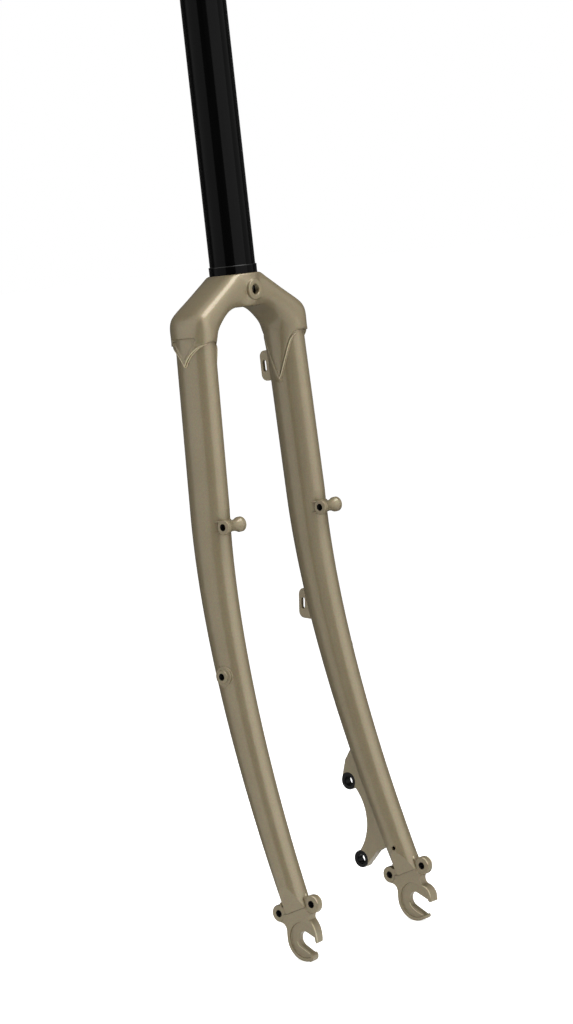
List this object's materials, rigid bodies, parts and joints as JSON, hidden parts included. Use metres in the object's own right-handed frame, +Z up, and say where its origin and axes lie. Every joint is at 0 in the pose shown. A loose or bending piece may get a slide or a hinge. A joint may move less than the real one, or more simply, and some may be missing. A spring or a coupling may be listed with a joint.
{
  "type": "bicycle fork",
  "caption": "Rigid steel bicycle fork with threadless steerer, lugged crown, raked tapered blades, open dropouts, disc brake tab and rack bosses.",
  "frame": {"origin": "on the steerer axis at the lower shoulder of the crown race seat, which is the crown's top face", "axes": "+Z up the steerer, -Y forward, the way the blades are raked, +X to the rider's left, the disc brake side"},
  "size_m": [0.1232, 0.0824, 0.72],
  "materials": {
    "steerer_black": "gloss",
    "frame_paint": "metallic gloss"
  },
  "bodies": {
    "root": {"steerer_tube": "steerer_black", "crown": "frame_paint", "blade_right": "frame_paint", "blade_left": "frame_paint", "dropout_right": "frame_paint", "dropout_left": "frame_paint", "disc_tab": "frame_paint", "hose_guide_upper": "frame_paint", "hose_guide_lower": "frame_paint", "hourglass_boss_right": "frame_paint", "hourglass_boss_left": "frame_paint", "lowrider_boss_right": "frame_paint", "lowrider_boss_left": "frame_paint"}
  },
  "joints": []
}
